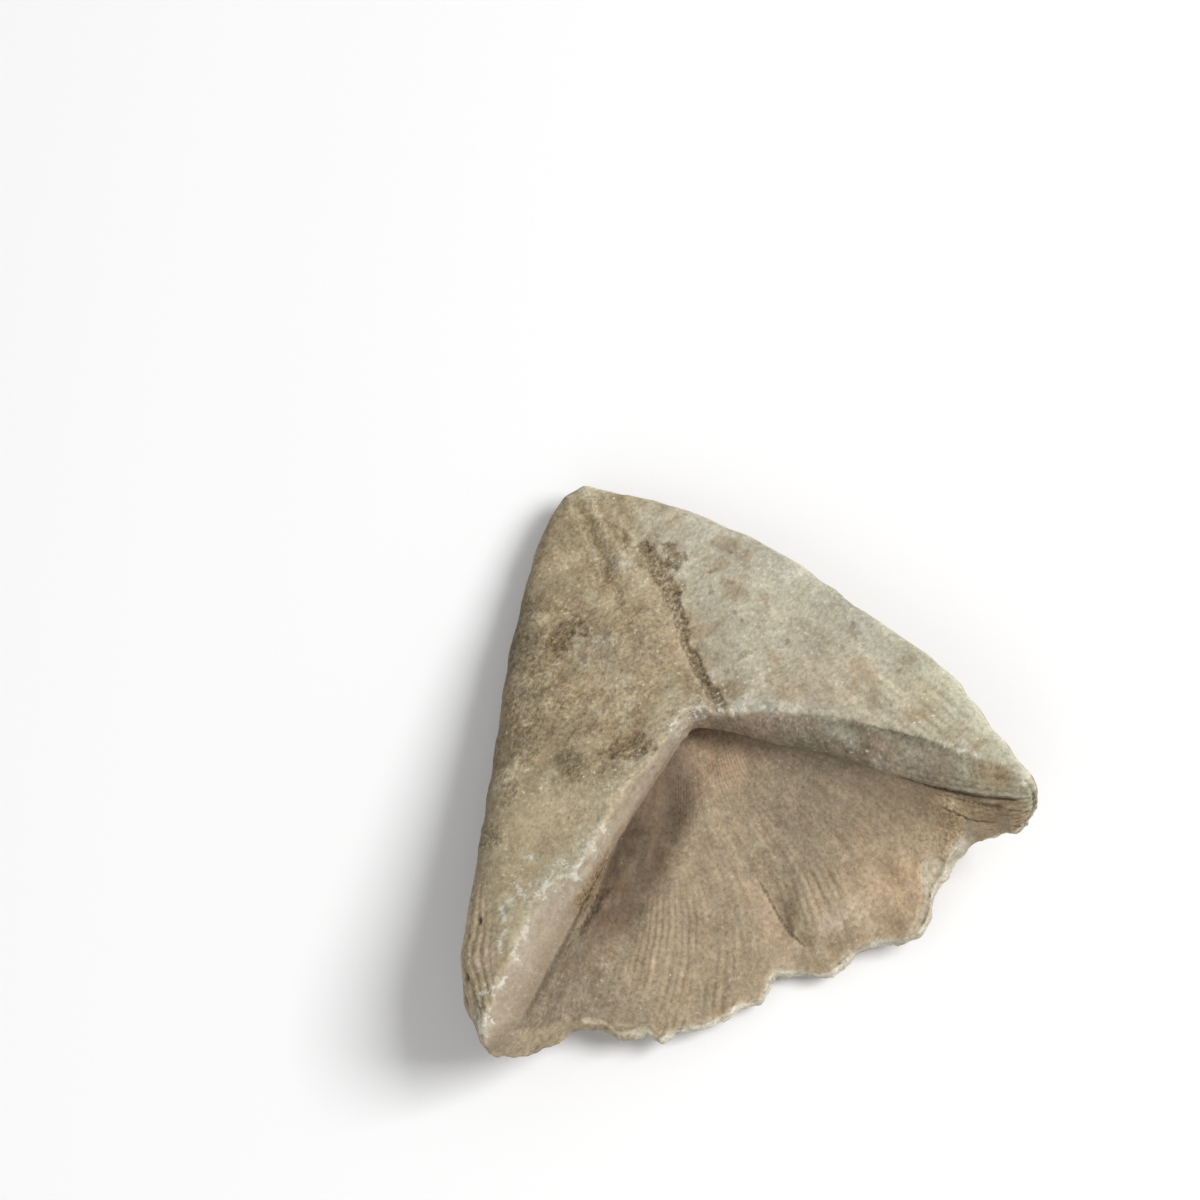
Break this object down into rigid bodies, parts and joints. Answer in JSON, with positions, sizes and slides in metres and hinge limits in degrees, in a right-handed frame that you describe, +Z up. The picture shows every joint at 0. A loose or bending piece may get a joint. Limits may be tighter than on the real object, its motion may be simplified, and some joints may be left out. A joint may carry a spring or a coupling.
{
  "type": "slipper coral fossil",
  "caption": "Horn-shaped slipper coral fossil lying on its arched side, with a flat triangular upper side and an open, ribbed calice behind a broken V-shaped rim.",
  "frame": {"origin": "middle of the footprint, on the floor that the fossil lies on", "axes": "+Z up, +Y towards the pointed apex, -Y towards the open mouth, +X along the hinge line to the right as seen from the mouth"},
  "size_m": [0.0524, 0.0514, 0.0148],
  "materials": {
    "fossil_stone": "matt, fine-grained, weathered"
  },
  "bodies": {
    "root": {"slipper_coral": "fossil_stone"}
  },
  "joints": []
}
